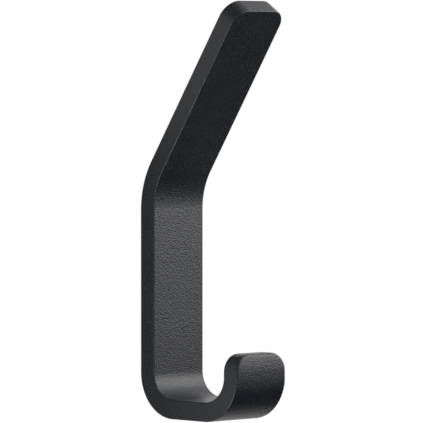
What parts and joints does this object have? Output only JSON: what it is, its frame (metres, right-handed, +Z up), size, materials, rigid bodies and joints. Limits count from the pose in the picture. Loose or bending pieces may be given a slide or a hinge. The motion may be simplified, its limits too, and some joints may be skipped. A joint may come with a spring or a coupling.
{
  "type": "double robe hook",
  "caption": "Wall hook bent from flat bar, with a slanted upper prong, a flat shank and a J-shaped lower hook, in black textured coating, fixed from behind.",
  "frame": {"origin": "on the back of the shank, in the wall plane, midway between the centres of the two tapped holes", "axes": "+Z up along the shank, +Y into the wall, so the hook stands out towards -Y, and X across the bar's width"},
  "size_m": [0.025, 0.0494, 0.15],
  "materials": {
    "powder_coat": "black powder coat with a fine, low grain and a satin sheen, over steel bar"
  },
  "bodies": {
    "root": {"hook": "powder_coat"}
  },
  "joints": []
}
